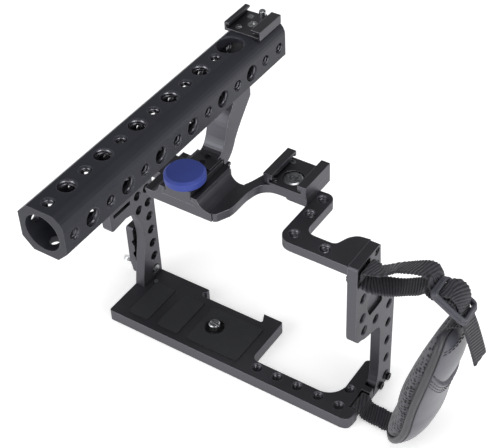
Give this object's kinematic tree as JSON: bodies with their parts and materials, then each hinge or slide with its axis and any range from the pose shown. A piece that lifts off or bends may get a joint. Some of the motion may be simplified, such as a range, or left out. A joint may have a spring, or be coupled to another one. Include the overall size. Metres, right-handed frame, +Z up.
{
  "type": "camera cage",
  "caption": "Camera cage with base, side plates, top arm, sliding tubular top handle, clamping knob, accessory shoes, cable clamp and padded hand strap.",
  "frame": {"origin": "on the camera screw's axis, in the plane of the base's underside; Z is the way a camera leaves its seat, the mount camera_seat", "axes": "+Z up along the camera screw, +Y along the lens, away from the user, +X towards the side with the hand strap"},
  "size_m": [0.2345, 0.175, 0.1851],
  "materials": {
    "black_anodised": "fine bead-blasted black anodised aluminium",
    "tube_anodised": "smooth black anodised aluminium tube",
    "blue_anodised": "polished blue anodised aluminium",
    "steel_screws": "bright zinc-plated steel",
    "black_screws": "black oxide steel",
    "rubber": "matt rubber",
    "webbing": "woven nylon webbing",
    "buckle": "satin moulded plastic",
    "pad_mesh": "padded air mesh",
    "pad_leather": "smooth grey leather"
  },
  "bodies": {
    "cage": {"base_plate": "black_anodised", "base_pads": "rubber", "base_screws": "steel_screws", "left_plate": "black_anodised", "left_screws": "steel_screws", "right_plate": "black_anodised", "side_screws": "black_screws", "top_screws": "black_screws", "top_arm": "black_anodised", "top_block": "black_anodised", "top_shoe": "black_anodised", "cross_screw": "steel_screws", "shoe_screws": "steel_screws", "jaw_spacer": "rubber", "base_dowel": "steel_screws", "strap_top": "webbing", "strap_buckle": "buckle", "strap_pad": "pad_mesh", "strap_cover": "pad_leather", "strap_bottom": "webbing"},
    "camera_screw": {"camera_screw": "steel_screws", "screw_clip": "black_screws"},
    "handle": {"foot": "black_anodised", "handle_arm": "black_anodised", "foot_screws": "black_screws", "handle_tube": "tube_anodised", "tube_bolt": "steel_screws", "handle_shoe": "black_anodised", "handle_shoe_screws": "steel_screws"},
    "knob": {"clamp_knob": "blue_anodised", "clamp_stud": "steel_screws"},
    "lock_pin": {"shoe_lock_pin": "steel_screws"},
    "jaw": {"cable_jaw": "black_anodised"},
    "thumbscrew": {"thumbscrew": "steel_screws", "thumbscrew_shaft": "steel_screws"}
  },
  "joints": [
    {"name": "camera_screw_turn", "type": "hinge", "parent": "cage", "child": "camera_screw", "pos_m": [0, 0, 0], "axis": [0, 0, 1], "continuous": true},
    {"name": "handle_slide", "type": "slide", "parent": "cage", "child": "handle", "axis": [0, 1, 0], "range_m": [-0.01, 0.01]},
    {"name": "knob_turn", "type": "hinge", "parent": "handle", "child": "knob", "pos_m": [0, -0.014, 0.1185], "axis": [0, 0, 1], "continuous": true},
    {"name": "lock_pin_press", "type": "slide", "parent": "handle", "child": "lock_pin", "axis": [0, 0, -1], "range_m": [0, 0.0014], "stiffness_N_per_m": 100},
    {"name": "thumbscrew_turn", "type": "hinge", "parent": "jaw", "child": "thumbscrew", "pos_m": [-0.06625, 0.0177, 0.0126], "axis": [1, 0, 0], "range_deg": [0, 1080]},
    {"name": "jaw_slide", "type": "slide", "parent": "cage", "child": "jaw", "axis": [1, 0, 0], "range_m": [-0.00209, 0]}
  ],
  "couplings": [
    {"joint": "thumbscrew_turn", "follows": "jaw_slide", "rad_per_m": -9000}
  ]
}
